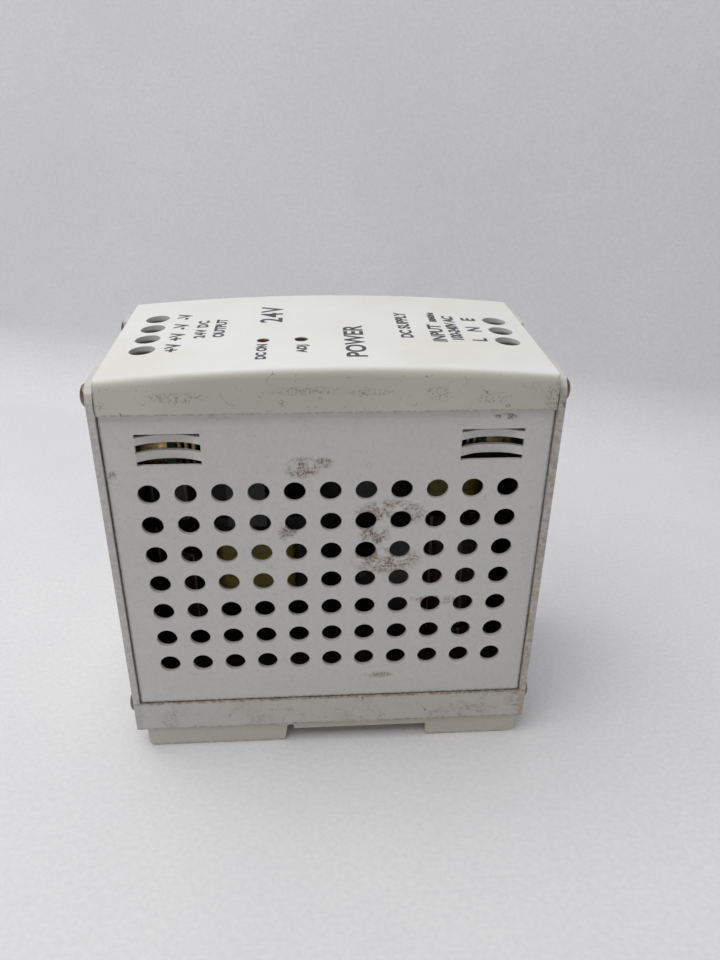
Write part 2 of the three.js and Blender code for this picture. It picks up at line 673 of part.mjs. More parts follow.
// ---- Parts on the boards ----
// Wound core: a ferrite frame with two windows and a taped winding on its middle leg.
function addWoundCore(name, { x, z }, { width, height, depth, leg, limb }) {
  const coreHalf = depth / 2;
  const windingHalfX = width / 2 - limb - 0.3;
  const windingHalfY = coreHalf + windingHalfX - leg;
  const y = mainBoardFace - 0.5 - windingHalfY;
  const core = block([x - width / 2, x + width / 2], [y - coreHalf, y + coreHalf],
    [z - height / 2, z + height / 2]);
  const windowHalf = height / 2 - limb;
  const windows = [-1, 1].map((side) => block([x + side * leg, x + side * (width / 2 - limb)],
    [y - coreHalf - 1, y + coreHalf + 1], [z - windowHalf, z + windowHalf]));
  const ring = outline([
    [x - windingHalfX, y - windingHalfY, 3], [x + windingHalfX, y - windingHalfY, 3],
    [x + windingHalfX, y + windingHalfY, 3], [x - windingHalfX, y + windingHalfY, 3],
  ]);
  const bore = outline([
    [x - leg - fit, y - coreHalf - fit], [x + leg + fit, y - coreHalf - fit],
    [x + leg + fit, y + coreHalf + fit], [x - leg - fit, y + coreHalf + fit],
  ]);
  const winding = slabSolid('xy', ring, [z - windowHalf + fit, z + windowHalf - fit], [bore]);
  addPart(`${name}_core`, cut(core, windows), ferrite);
  addPart(`${name}_winding`, winding, yellowTape);
}

// Upright can with a crimp groove near its foot.
function makeCan(radius, x, y, [bottom, top]) {
  return turned([
    [0, bottom], [radius, bottom], [radius, bottom + 2], [radius * 0.92, bottom + 3],
    [radius, bottom + 4], [radius, top - 0.6], [radius - 0.6, top], [0, top],
  ], facing(up, x, y, 0), 16);
}

function makeHeatsink(x, [bottom, top], towards) {
  const front = mainBoardFace - 23;
  const fin = block([x, x + towards * 2], [front, mainBoardFace - touch], [bottom, top]);
  const foot = block([x, x + towards * 9], [front, front + 2], [bottom, top]);
  return fin.add(foot);
}

// Flat power package with its three leads running back to the main board.
function makePackage(x, z, towards) {
  const back = mainBoardFace - 10;
  const body = block([x, x + towards * 4.4], [back - 9.5, back], [z - 5, z + 5]);
  const leads = [-2.54, 0, 2.54].map((offset) => block([x + towards * 1.8, x + towards * 2.6],
    [back - 1, mainBoardFace - touch], [z + offset - 0.45, z + offset + 0.45]));
  return joined([body, ...leads]);
}

function addBoardParts() {
  addWoundCore('transformer', { x: -18, z: 41 },
    { width: 26.8, height: 23, depth: 11, leg: 4, limb: 3.6 });
  addWoundCore('line_choke', { x: 31, z: partsTop - 8.5 },
    { width: 20, height: 17, depth: 7, leg: 3, limb: 2.6 });
  const bulkRadius = 9;
  const bulkY = mainBoardFace - bulkRadius - fit;
  addPart('bulk_capacitor', makeCan(bulkRadius, 34, bulkY, [14, 50]), sleeveBrown);
  const outputRadius = 5;
  const outputY = mainBoardFace - outputRadius - fit;
  addPart('output_capacitor_1', makeCan(outputRadius, -38, outputY, [12, 37]), sleeveBrown);
  const upperCan = makeCan(outputRadius, -38, outputY, [partsTop - 21, partsTop]);
  addPart('output_capacitor_2', upperCan, sleeveBrown);
  addPart('filter_capacitor', block([3, 14.5], [mainBoardFace - 17, mainBoardFace - touch],
    [partsTop - 15, partsTop]), greyPlastic);
  const primarySink = 12;
  addPart('primary_heatsink', makeHeatsink(primarySink, [16, 52], 1), aluminium);
  addPart('switching_transistor', makePackage(primarySink - touch, 36, -1), blackPlastic);
  const secondarySink = -24;
  addPart('secondary_heatsink', makeHeatsink(secondarySink, [partsTop - 15.5, partsTop], 1), aluminium);
  addPart('rectifier_diode', makePackage(secondarySink - touch, partsTop - 7.5, -1), blackPlastic);
}

function addFrontBoardParts() {
  const seat = frontBoardTop + touch;
  const rotorRadius = 2;
  const rotorSpan = [trimmer.top - 2.5, trimmer.top + 1.4];
  const body = block([trimmer.x - trimmer.half, trimmer.x + trimmer.half],
    [trimmer.y - trimmer.half, trimmer.y + trimmer.half], [seat, trimmer.top]);
  const at = facing(up, trimmer.x, trimmer.y, 0);
  const socket = rod(rotorRadius + 0.1, [rotorSpan[0] - touch, trimmer.top + 1], at);
  addPart('trimmer_body', body.subtract(socket), bluePlastic);
  const slot = block([-1.6, 1.6], [-0.35, 0.35], [rotorSpan[1] - 0.9, rotorSpan[1] + 1], at);
  addPart('trimmer_rotor', rod(rotorRadius, rotorSpan, at).subtract(slot), whitePlastic);

  const lensTop = coverUnderside + crown(led.x) - 0.3;
  const lensBottom = lensTop - 4.6;
  const lens = turned([
    [0, lensBottom], [led.radius + 0.4, lensBottom], [led.radius + 0.4, lensBottom + 0.9],
    [led.radius, lensBottom + 0.9], [led.radius, lensTop - 1.4], [led.radius * 0.72, lensTop - 0.4],
    [0, lensTop],
  ], facing(up, led.x, led.y, 0));
  const leads = [-0.9, 0.9].map((offset) => block([led.x + offset - 0.3, led.x + offset + 0.3],
    [led.y - 0.3, led.y + 0.3], [seat, lensBottom + 0.5]));
  addPart('power_led', joined([lens, ...leads]), greenLens);
}

// ---- Assembly ----
addPart('chassis', makeChassis(), ivoryPaint);
addPart('side_panel_near', makeSidePanel(-1), ivoryPaint);
addPart('side_panel_far', makeSidePanel(1), ivoryPaint);
addPart('front_cover', makeCover(), coverPlastic);
addCaseScrews();
addRailFoot();
addBoards();
addTerminals('output', outputRow);
addTerminals('input', inputRow);
addBoardParts();
addFrontBoardParts();

export default group;
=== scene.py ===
# DIN rail power supply: the looks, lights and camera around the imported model.
# Metres, in the model's frame: X from output to input end, Y from near to far panel, Z up.
import json
import math

import bmesh
import bpy
from mathutils import Matrix, Vector


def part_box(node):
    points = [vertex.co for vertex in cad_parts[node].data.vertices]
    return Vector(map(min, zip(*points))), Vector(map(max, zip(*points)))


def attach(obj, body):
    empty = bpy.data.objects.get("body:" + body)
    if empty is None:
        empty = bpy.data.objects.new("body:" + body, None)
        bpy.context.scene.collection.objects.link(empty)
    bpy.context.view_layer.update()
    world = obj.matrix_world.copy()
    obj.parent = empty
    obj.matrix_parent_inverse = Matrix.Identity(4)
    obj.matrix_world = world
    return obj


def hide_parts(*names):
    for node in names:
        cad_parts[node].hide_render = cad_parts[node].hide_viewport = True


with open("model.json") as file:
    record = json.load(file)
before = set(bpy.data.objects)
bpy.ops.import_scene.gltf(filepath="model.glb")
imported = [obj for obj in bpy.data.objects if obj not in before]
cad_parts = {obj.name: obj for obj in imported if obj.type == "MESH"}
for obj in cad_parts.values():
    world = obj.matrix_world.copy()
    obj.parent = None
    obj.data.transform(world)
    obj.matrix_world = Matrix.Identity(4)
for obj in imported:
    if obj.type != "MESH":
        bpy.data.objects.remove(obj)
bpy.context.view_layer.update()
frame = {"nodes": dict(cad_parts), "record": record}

MM = 0.001
nodes = frame["nodes"]

# ---- Sizes taken from the frame ----
near_low, near_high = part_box("side_panel_near")
far_low, far_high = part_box("side_panel_far")
cover_low, cover_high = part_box("front_cover")
case_low, case_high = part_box("chassis")

SHEET = 1 * MM
VENT_PITCH = 7.62 * MM
VENT_RADIUS = 2.35 * MM
VENT_COLUMNS = 11
VENT_ROWS = 7
PANEL_BOTTOM = near_low.z + 6.8 * MM
VENT_CENTRE_Z = PANEL_BOTTOM + 34.5 * MM
COVER_CROWN = 2.1 * MM
COVER_END_Z = cover_high.z - COVER_CROWN
SKIRT_BOTTOM = COVER_END_Z - 7.4 * MM
UPPER_SCREW_Z = SKIRT_BOTTOM + 2.3 * MM
PANEL_FACE = -near_low.y
PLATE = 1.5 * MM
END_INNER = case_high.x - PLATE
CASE_FLOOR = case_low.z + PLATE
# Below this height the terminal brass gets painted shade.
BRASS_SHADE_PAINTED_BELOW = SKIRT_BOTTOM - 14.6 * MM


def crown(x):
    """Height of the arched cover over its ends."""
    return COVER_CROWN * (1 - (x / cover_high.x) ** 2)


# ---- Material helpers ----
class Look:
    """A node material under construction, with short ways to add the nodes used here."""

    def __init__(self, name, colour, roughness=0.5, metallic=0.0, specular=0.5):
        self.material = bpy.data.materials.new(name)
        self.material.use_nodes = True
        self.tree = self.material.node_tree
        self.shader = self.tree.nodes["Principled BSDF"]
        self.shader.inputs["Base Color"].default_value = (*colour, 1)
        self.shader.inputs["Roughness"].default_value = roughness
        self.shader.inputs["Metallic"].default_value = metallic
        self.shader.inputs["Specular IOR Level"].default_value = specular
        self.place = self.node("ShaderNodeTexCoord").outputs["Object"]
        parts = self.node("ShaderNodeSeparateXYZ")
        self.link(self.place, parts.inputs[0])
        self.x, self.y, self.z = parts.outputs

    def node(self, kind, **settings):
        made = self.tree.nodes.new(kind)
        for name, value in settings.items():
            setattr(made, name, value)
        return made

    def link(self, source, socket):
        """Feeds a socket from another socket, or sets it to a plain value."""
        if isinstance(source, bpy.types.NodeSocket):
            self.tree.links.new(source, socket)
        else:
            socket.default_value = source

    def math(self, operation, *values):
        made = self.node("ShaderNodeMath", operation=operation)
        for value, socket in zip(values, made.inputs):
            self.link(value, socket)
        return made.outputs[0]

    def noise(self, size, detail=4, roughness=0.55, stretch=(1, 1, 1), shift=0.0):
        """Noise from 0 to 1 whose blotches are about this many metres across."""
        mapping = self.node("ShaderNodeMapping")
        self.link(self.place, mapping.inputs["Vector"])
        mapping.inputs["Scale"].default_value = [1 / (size * s) for s in stretch]
        mapping.inputs["Location"].default_value = (shift, shift * 0.7, shift * 1.3)
        made = self.node("ShaderNodeTexNoise")
        self.link(mapping.outputs[0], made.inputs["Vector"])
        made.inputs["Scale"].default_value = 1
        made.inputs["Detail"].default_value = detail
        made.inputs["Roughness"].default_value = roughness
        return made.outputs["Fac"]

    def cells(self, size, shift=0.0):
        """Distance to the nearest of scattered points about this far apart."""
        mapping = self.node("ShaderNodeMapping")
        self.link(self.place, mapping.inputs["Vector"])
        mapping.inputs["Scale"].default_value = [1 / size] * 3
        mapping.inputs["Location"].default_value = (shift, shift, shift)
        made = self.node("ShaderNodeTexVoronoi")
        self.link(mapping.outputs[0], made.inputs["Vector"])
        made.inputs["Scale"].default_value = 1
        return made.outputs["Distance"]

    def ramp(self, value, start, end, low=0.0, high=1.0):
        """Smooth step of a value between start and end, giving low to high."""
        made = self.node("ShaderNodeMapRange", interpolation_type="SMOOTHSTEP")
        for source, socket in zip((value, start, end, low, high), made.inputs):
            self.link(source, socket)
        return made.outputs[0]

    def near(self, coordinate, value, width):
        """1 on the plane where a coordinate has this value, fading out over a width."""
        away = self.math("ABSOLUTE", self.math("SUBTRACT", coordinate, value))
        return self.ramp(away, width, 0.0)

    def mix(self, amount, first, second):
        made = self.node("ShaderNodeMix", data_type="RGBA")
        self.link(amount, made.inputs["Factor"])
        for source, socket in ((first, made.inputs[6]), (second, made.inputs[7])):
            self.link(source if isinstance(source, bpy.types.NodeSocket) else (*source, 1), socket)
        return made.outputs[2]

    def colour(self, source):
        self.link(source, self.shader.inputs["Base Color"])

    def roughness(self, source):
        self.link(source, self.shader.inputs["Roughness"])

    def bump(self, height, depth, after=None):
        """Adds relief whose height from 0 to 1 is this many metres deep."""
        made = self.node("ShaderNodeBump")
        made.inputs["Strength"].default_value = 1
        made.inputs["Distance"].default_value = depth
        self.link(height, made.inputs["Height"])
        if after is not None:
            self.link(after, made.inputs["Normal"])
        self.link(made.outputs[0], self.shader.inputs["Normal"])
        return made.outputs[0]


def hairlines(look, size, width, shift=0.0):
    """Thin wandering lines, like light scratches, as a mask."""
    drawn = look.noise(size, 2, 0.5, shift=shift)
    distance = look.math("ABSOLUTE", look.math("SUBTRACT", drawn, 0.5))
    broken = look.ramp(look.noise(size * 0.7, 2, shift=shift + 5), 0.52, 0.6)
    return look.math("MULTIPLY", look.ramp(distance, width, width * 0.3), broken)


def specks(look, size, amount, shift=0.0):
    """Small ragged dots about this size; a larger amount gives more of them."""
    return look.ramp(look.noise(size, 3, 0.6, shift=shift), 0.72 - amount, 0.77 - amount)


def smudge(look, x, z, half_width, half_height):
    """Soft oval round a point of a side face."""
    across = look.math("DIVIDE", look.math("SUBTRACT", look.x, x * MM), half_width * MM)
    upward = look.math("DIVIDE", look.math("SUBTRACT", look.z, z * MM), half_height * MM)
    squares = look.math("ADD", look.math("POWER", across, 2.0), look.math("POWER", upward, 2.0))
    return look.ramp(squares, 1.0, 0.15)


def strongest(look, masks):
    total = 0.0
    for mask in masks:
        total = look.math("MAXIMUM", mask, total)
    return total


def product(look, *masks):
    total = 1.0
    for mask in masks:
        total = look.math("MULTIPLY", mask, total)
    return total


PAINT = (0.60, 0.59, 0.57)
BROWN = (0.20, 0.13, 0.08)
DARK = (0.07, 0.055, 0.045)


def edge_grime(look, planes, strength):
    """Fine dirt gathered along the given (coordinate, value, width) planes."""
    along = strongest(look, [look.near(*plane) for plane in planes])
    fine = look.ramp(look.noise(0.9 * MM, 5, 0.7, shift=4), 0.36, 0.62)
    return product(look, along, fine, strength)


def aged(look, clean, yellowing):
    """Clean colour with slow yellowing, fine mottling and scattered dark specks."""
    yellowed = tuple(c * f for c, f in zip(clean, (0.97, 0.93, 0.82)))
    slow = look.ramp(look.noise(45 * MM, 2), 0.35, 0.65, 0.0, yellowing)
    base = look.mix(slow, clean, yellowed)
    mottled = look.ramp(look.noise(0.8 * MM, 4, 0.65, shift=7), 0.4, 0.75, 0.0, 0.10)
    base = look.mix(mottled, base, BROWN)
    few = look.ramp(look.noise(11 * MM, 2, shift=11), 0.45, 0.62, 0.1, 1.0)
    return look.mix(product(look, specks(look, 0.55 * MM, 0.0, 2), few, 0.7), base, DARK)


def painted_inside_shade(look, colour):
    """Painted shade: darkens the surfaces that face the unlit inside of the case to near black."""
    inside_y = look.ramp(look.math("ABSOLUTE", look.y), PANEL_FACE - 2.8 * MM, PANEL_FACE - 3.2 * MM)
    inside_x = look.ramp(look.math("ABSOLUTE", look.x), END_INNER + 0.4 * MM, END_INNER + 0.05 * MM)
    above = look.ramp(look.z, CASE_FLOOR - 0.55 * MM, CASE_FLOOR - 0.15 * MM)
    return look.mix(product(look, inside_y, inside_x, above), colour, (0.055, 0.048, 0.042))


def case_paint():
    look = Look("case_paint", PAINT, 0.45)
    edges = edge_grime(look, [
        (look.z, case_low.z, 0.7 * MM), (look.z, PANEL_BOTTOM - 0.4 * MM, 0.6 * MM),
    ], 0.8)
    at_ends = look.ramp(look.math("ABSOLUTE", look.x), END_INNER - 0.2 * MM, END_INNER + 0.1 * MM)
    # Grime and a darker tint on the end plates' rims, both stronger towards the input end: partly grime
    # and tint, partly painted shade on the rims away from the light.
    rim_grime_and_shade = product(look, edge_grime(look, [
        (look.y, case_low.y, 0.7 * MM), (look.y, case_high.y, 0.7 * MM),
    ], look.ramp(look.x, -40 * MM, 40 * MM, 0.25, 0.5)), at_ends)
    handled = product(look, look.ramp(look.noise(9 * MM, 3, shift=14), 0.45, 0.65),
                      look.ramp(look.noise(0.8 * MM, 4, 0.7, shift=15), 0.35, 0.75),
                      look.ramp(look.x, 5 * MM, 44 * MM, 0.45, 0.9),
                      look.ramp(at_ends, 0.0, 1.0, 1.0, 0.45))
    low_band = look.ramp(look.z, PANEL_BOTTOM + 0.3 * MM, PANEL_BOTTOM - 0.3 * MM, 0.0, 0.22)
    rim_tint_and_shade = product(look, look.ramp(look.math("ABSOLUTE", look.y), PANEL_FACE - 0.4 * MM,
                                       PANEL_FACE - 0.1 * MM), at_ends,
                       look.ramp(look.x, -40 * MM, 40 * MM, 0.0, 0.25))
    colour = aged(look, PAINT, 0.5)
    colour = look.mix(strongest(look, [low_band, rim_tint_and_shade]), colour, (0.36, 0.30, 0.27))
    colour = look.mix(strongest(look, [edges, handled, rim_grime_and_shade]), colour, BROWN)
    colour = look.mix(product(look, hairlines(look, 5 * MM, 0.006, 3), 0.6), colour, DARK)
    look.colour(painted_inside_shade(look, colour))
    look.roughness(look.ramp(look.noise(5 * MM, 4, shift=8), 0.3, 0.7, 0.4, 0.58))
    look.bump(look.noise(0.8 * MM, 2), 0.012 * MM)
    return look.material


# Rubbed-in dirt on the near panel: centre x and z, half width and half height in millimetres.
PANEL_SMUDGES = [
    (13, 66.5, 9, 4), (9.5, 61, 4, 3.5), (12, 54.5, 9, 4.5), (-6, 78, 4.5, 3), (-1.5, 79, 2.5, 1.6),
    (-9.5, 62, 2.5, 2.5), (-45, 77, 1.2, 1.2), (11, 21, 4.5, 1), (36, 89, 3, 0.9), (24, 43, 6, 1.6),
]


def panel_paint():
    look = Look("panel_paint", PAINT, 0.45)
    edges = edge_grime(look, [
        (look.z, PANEL_BOTTOM, 0.7 * MM), (look.z, SKIRT_BOTTOM, 0.5 * MM),
        (look.x, near_low.x, 0.9 * MM), (look.x, near_high.x, 0.9 * MM),
    ], 0.8)
    rubbed = strongest(look, [smudge(look, *spot) for spot in PANEL_SMUDGES])
    fine = look.ramp(look.noise(0.7 * MM, 5, 0.75, shift=16), 0.42, 0.57)
    streaks = look.ramp(look.noise(3 * MM, 4, 0.6, shift=17), 0.38, 0.56)
    dirt = product(look, rubbed, fine, streaks, 1.0)
    curls = product(look, hairlines(look, 6 * MM, 0.007, 21), look.ramp(rubbed, 0.0, 0.3, 0.25, 1.0), 0.7)
    colour = aged(look, PAINT, 0.25)
    colour = look.mix(product(look, rubbed, streaks, 0.16), colour, BROWN)
    colour = look.mix(strongest(look, [edges, dirt]), colour, BROWN)
    colour = look.mix(curls, colour, DARK)
    look.colour(painted_inside_shade(look, colour))
    look.roughness(look.ramp(look.noise(5 * MM, 4, shift=8), 0.3, 0.7, 0.4, 0.6))
    peel = look.bump(look.noise(1.0 * MM, 2), 0.02 * MM)
    look.bump(curls, -0.01 * MM, peel)
    return look.material


# Scuffs on the cover's near skirt, as for the panel.
SKIRT_SMUDGES = [(22, 94.5, 3.5, 2), (45.5, 93.5, 2.6, 4.2), (-30, 94.5, 7, 1.5), (-5, 95.5, 9, 1.2),
                 (33, 93.5, 5, 1.5), (8, 95, 6, 1)]


def bored(look, *names):
    """The walls of the small holes in the cover over the given nodes."""
    masks = []
    for name in names:
        centre = sum(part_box(name), Vector()) / 2
        across = look.math("SUBTRACT", look.x, centre.x)
        along = look.math("SUBTRACT", look.y, centre.y)
        squares = look.math("ADD", look.math("POWER", across, 2.0), look.math("POWER", along, 2.0))
        within = look.ramp(look.math("SQRT", squares), 1.9 * MM, 1.75 * MM)
        top = COVER_END_Z + crown(centre.x)
        masks.append(product(look, within, look.ramp(look.z, top - 0.12 * MM, top - 0.3 * MM)))
    return strongest(look, masks)


def cover_plastic():
    clean = (0.78, 0.785, 0.76)
    look = Look("cover_plastic", clean, 0.4)
    side = look.ramp(look.math("ABSOLUTE", look.y), cover_high.y - 1.6 * MM, cover_high.y - 0.3 * MM)
    edges = product(look, side, edge_grime(look, [
        (look.z, SKIRT_BOTTOM, 0.5 * MM), (look.x, cover_low.x, 0.5 * MM),
        (look.x, cover_high.x, 0.9 * MM),
    ], 0.75))
    rubbed = strongest(look, [smudge(look, *spot) for spot in SKIRT_SMUDGES])
    fine = look.ramp(look.noise(0.6 * MM, 5, 0.75, shift=26), 0.46, 0.62)
    dirt = product(look, side, rubbed, fine, 0.6)
    dotted = product(look, specks(look, 0.5 * MM, 0.03, 31), side, 0.8)
    curls = product(look, hairlines(look, 4 * MM, 0.008, 33), side, 0.6)
    # The skirts are coloured darker and yellower than the top: partly yellowed plastic, partly painted
    # shade on the upright sides.
    skirt = look.mix(side, clean, (0.49, 0.48, 0.415))
    yellowed = look.ramp(look.noise(30 * MM, 2, shift=3), 0.4, 0.7, 0.0, 0.35)
    colour = look.mix(yellowed, skirt, (0.66, 0.63, 0.54))
    colour = look.mix(strongest(look, [edges, dirt]), colour, BROWN)
    colour = look.mix(strongest(look, [dotted, curls]), colour, DARK)
    few = product(look, specks(look, 0.5 * MM, -0.03, 37), 0.6)
    colour = look.mix(few, colour, DARK)
    # Painted shade: the cover's underside, screwdriver sleeves and lugs are coloured dark grey-green, as
    # if in the shade inside the case.
    within_y = look.ramp(look.math("ABSOLUTE", look.y), cover_high.y - 1.3 * MM, cover_high.y - 1.5 * MM)
    within_x = look.ramp(look.math("ABSOLUTE", look.x), cover_high.x - 1.25 * MM, cover_high.x - 1.4 * MM)
    below = look.ramp(look.z, COVER_END_Z - 0.2 * MM, COVER_END_Z - 0.9 * MM)
    colour = look.mix(product(look, within_y, within_x, below), colour, (0.17, 0.17, 0.125))
    look.colour(look.mix(bored(look, "power_led", "trimmer_rotor"), colour, (0.20, 0.11, 0.06)))
    look.roughness(look.ramp(look.noise(4 * MM, 4, shift=5), 0.3, 0.7, 0.32, 0.48))
    look.bump(look.noise(0.5 * MM, 2), 0.008 * MM)
    return look.material


def foot_plastic():
    clean = (0.58, 0.55, 0.50)
    look = Look("foot_plastic", clean, 0.55)
    grime = edge_grime(look, [(look.z, 0.0, 0.8 * MM), (look.z, case_low.z, 0.6 * MM)], 0.6)
    look.colour(look.mix(grime, aged(look, clean, 0.7), BROWN))
    look.roughness(look.ramp(look.noise(4 * MM, 4, shift=5), 0.3, 0.7, 0.45, 0.65))
    look.bump(look.noise(0.35 * MM, 3), 0.012 * MM)
    return look.material


def plated_steel(name="plated_steel", colour=(0.52, 0.51, 0.48)):
    look = Look(name, colour, 0.35, 1.0)
    tarnish = look.ramp(look.noise(2.2 * MM, 5, 0.65), 0.45, 0.75, 0.0, 0.55)
    look.colour(look.mix(tarnish, colour, (0.20, 0.16, 0.11)))
    look.roughness(look.ramp(look.noise(1.2 * MM, 4, shift=3), 0.3, 0.7, 0.25, 0.5))
    look.bump(look.noise(0.25 * MM, 2), 0.004 * MM)
    return look.material


def contact_brass():
    colour = (0.86, 0.62, 0.26)
    look = Look("contact_brass", colour, 0.38, 0.7)
    dull = look.ramp(look.noise(1.8 * MM, 4), 0.45, 0.75, 0.0, 0.5)
    # Painted shade: the brass below that height is coloured near black, as if unlit inside the case.
    low = look.ramp(look.z, BRASS_SHADE_PAINTED_BELOW, BRASS_SHADE_PAINTED_BELOW - 1.2 * MM, 0.0, 0.9)
    colour = look.mix(dull, colour, (0.45, 0.29, 0.10))
    look.colour(look.mix(low, colour, (0.05, 0.035, 0.02)))
    look.roughness(look.ramp(look.noise(1 * MM, 3, shift=3), 0.3, 0.7, 0.22, 0.45))
    return look.material


def heatsink_aluminium():
    # Painted shade: the aluminium is coloured near black, as if unlit inside the case.
    colour = (0.10, 0.10, 0.105)
    look = Look("heatsink_aluminium", colour, 0.4, 0.8)
    rolled = look.noise(0.8 * MM, 3, 0.6, (1, 1, 20))
    look.colour(look.mix(look.ramp(rolled, 0.3, 0.7, 0.0, 0.35), colour, (0.06, 0.06, 0.065)))
    look.roughness(look.ramp(rolled, 0.3, 0.7, 0.3, 0.5))
    look.bump(rolled, 0.006 * MM)
    return look.material


def moulded(name, colour, roughness=0.5, fleck=None):
    """Moulded plastic or fired ferrite: fine grain, soft mottling and settled dust."""
    look = Look(name, colour, roughness)
    dusty = look.ramp(look.noise(3 * MM, 5, 0.6), 0.45, 0.75, 0.0, 0.3)
    base = look.mix(dusty, colour, (0.22, 0.20, 0.17))
    if fleck:
        flecks = look.ramp(look.cells(0.7 * MM), 0.25, 0.1, 0.0, 0.5)
        base = look.mix(flecks, base, fleck)
    look.colour(base)
    low, high = roughness - 0.08, roughness + 0.1
    look.roughness(look.ramp(look.noise(1.5 * MM, 3, shift=2), 0.3, 0.7, low, high))
    look.bump(look.noise(0.3 * MM, 2), 0.01 * MM)
    return look.material


def circuit_board():
    mask, copper = (0.012, 0.02, 0.010), (0.020, 0.034, 0.016)
    look = Look("board", mask, 0.35)
    tracks = look.ramp(look.cells(4.5 * MM), 0.34, 0.38)
    base = look.mix(tracks, mask, copper)
    dusty = look.ramp(look.noise(4 * MM, 5, 0.6), 0.4, 0.75, 0.0, 0.35)
    look.colour(look.mix(dusty, base, (0.05, 0.043, 0.034)))
    look.roughness(look.ramp(look.noise(3 * MM, 3), 0.3, 0.7, 0.4, 0.6))
    look.bump(tracks, 0.03 * MM)
    return look.material


def wound_tape():
    tape = (0.30, 0.235, 0.035)
    look = Look("yellow_tape", tape, 0.3)
    turns = look.math("SINE", look.math("MULTIPLY", look.z, 2 * math.pi / (3.2 * MM)))
    laps = look.ramp(turns, 0.8, 0.98)
    worn = look.ramp(look.noise(3 * MM, 4), 0.35, 0.7, 0.0, 0.5)
    base = look.mix(worn, tape, (0.22, 0.17, 0.03))
    look.colour(look.mix(look.math("MULTIPLY", laps, 0.6), base, (0.2, 0.15, 0.02)))
    look.bump(laps, 0.05 * MM)
    return look.material


def can_sleeve():
    sleeve = (0.11, 0.055, 0.04)
    look = Look("can_sleeve", sleeve, 0.22)
    stripe = look.ramp(look.noise(2 * MM, 2, 0.4, (1, 1, 60)), 0.6, 0.63)
    faded = look.mix(look.ramp(look.noise(5 * MM, 4), 0.4, 0.7, 0, 0.4), sleeve, (0.14, 0.10, 0.07))
    look.colour(look.mix(stripe, faded, (0.45, 0.42, 0.36)))
    look.roughness(look.ramp(look.noise(3 * MM, 4, shift=3), 0.3, 0.7, 0.16, 0.34))
    look.bump(look.noise(2 * MM, 2, 0.5, (1, 1, 3)), 0.03 * MM)
    return look.material


def led_lens():
    look = Look("green_lens", (0.30, 0.62, 0.30), 0.12)
    look.shader.inputs["Transmission Weight"].default_value = 0.5
    cloudy = look.ramp(look.noise(1.2 * MM, 3), 0.3, 0.7, 0.0, 0.4)
    look.colour(look.mix(cloudy, (0.30, 0.62, 0.30), (0.42, 0.70, 0.38)))
    return look.material


def print_ink():
    ink = (0.045, 0.05, 0.06)
    look = Look("print_ink", ink, 0.55)
    worn = look.ramp(look.noise(0.5 * MM, 4, 0.7), 0.55, 0.8, 0.0, 0.4)
    look.colour(look.mix(worn, ink, (0.30, 0.29, 0.27)))
    look.roughness(look.ramp(worn, 0.0, 0.45, 0.5, 0.7))
    return look.material


looks = {
    "case_paint": case_paint(),
    "panel_paint": panel_paint(),
    "cover_plastic": cover_plastic(),
    "foot_plastic": foot_plastic(),
    "plated_steel": plated_steel(),
    "rusted_steel": plated_steel("rusted_steel", (0.24, 0.19, 0.15)),
    "spring_steel": plated_steel("spring_steel", (0.40, 0.40, 0.41)),
    "contact_brass": contact_brass(),
    "heatsink_aluminium": heatsink_aluminium(),
    "black_plastic": moulded("black_plastic", (0.018, 0.018, 0.019), 0.42),
    "ferrite": moulded("ferrite", (0.03, 0.03, 0.032), 0.6, (0.09, 0.09, 0.09)),
    "terminal_green": moulded("terminal_green", (0.02, 0.06, 0.036), 0.45),
    "grey_plastic": moulded("grey_plastic", (0.055, 0.057, 0.06), 0.45),
    "blue_plastic": moulded("blue_plastic", (0.03, 0.10, 0.30), 0.4),
    "white_plastic": moulded("white_plastic", (0.70, 0.68, 0.62), 0.45),
    "board": circuit_board(),
    "yellow_tape": wound_tape(),
    "can_sleeve": can_sleeve(),
    "green_lens": led_lens(),
    "print_ink": print_ink(),
}


# ---- Mesh helpers ----
def make_object(name, mesh, body, look):
    """Links a finished mesh as a named piece that rides on a body."""
    piece = bpy.data.objects.new(name, mesh)
    bpy.context.scene.collection.objects.link(piece)
    mesh.materials.clear()
    mesh.materials.append(looks[look])
    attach(piece, body)
    return piece


def shade_smooth(mesh, degrees=35):
    mesh.shade_smooth()
    edges = bmesh.new()
    edges.from_mesh(mesh)
    for edge in edges.edges:
        if len(edge.link_faces) != 2 or edge.calc_face_angle() > math.radians(degrees):
            edge.smooth = False
    edges.to_mesh(mesh)
    edges.free()


def round_edges(piece, width, segments=2, degrees=40):
    bevel = piece.modifiers.new("edges", "BEVEL")
    bevel.width = width
    bevel.segments = segments
    bevel.limit_method = "ANGLE"
    bevel.angle_limit = math.radians(degrees)
    bevel.harden_normals = False


def mesh_from(name, build):
    """A mesh whose geometry a function builds in bmesh."""
    made = bmesh.new()
    build(made)
    bmesh.ops.recalc_face_normals(made, faces=made.faces)
    mesh = bpy.data.meshes.new(name)
    made.to_mesh(mesh)
    made.free()
    return mesh


def loft(made, rings, closed_ring=True, caps=True):
    """Skins rings of points, each ring the same length, into a closed body."""
    rows = [[made.verts.new(point) for point in ring] for ring in rings]
    count = len(rows[0])
    for low, high in zip(rows, rows[1:]):
        for index in range(count if closed_ring else count - 1):
            after = (index + 1) % count
            made.faces.new((low[index], low[after], high[after], high[index]))
    if caps:
        made.faces.new(rows[0])
        made.faces.new(list(reversed(rows[-1])))


def arc(centre, radius, start, end, steps):
    """Points on an arc in a plane, angles in degrees."""
    points = []
    for step in range(steps + 1):
        angle = math.radians(start + (end - start) * step / steps)
        points.append((centre[0] + radius * math.cos(angle), centre[1] + radius * math.sin(angle)))
    return points


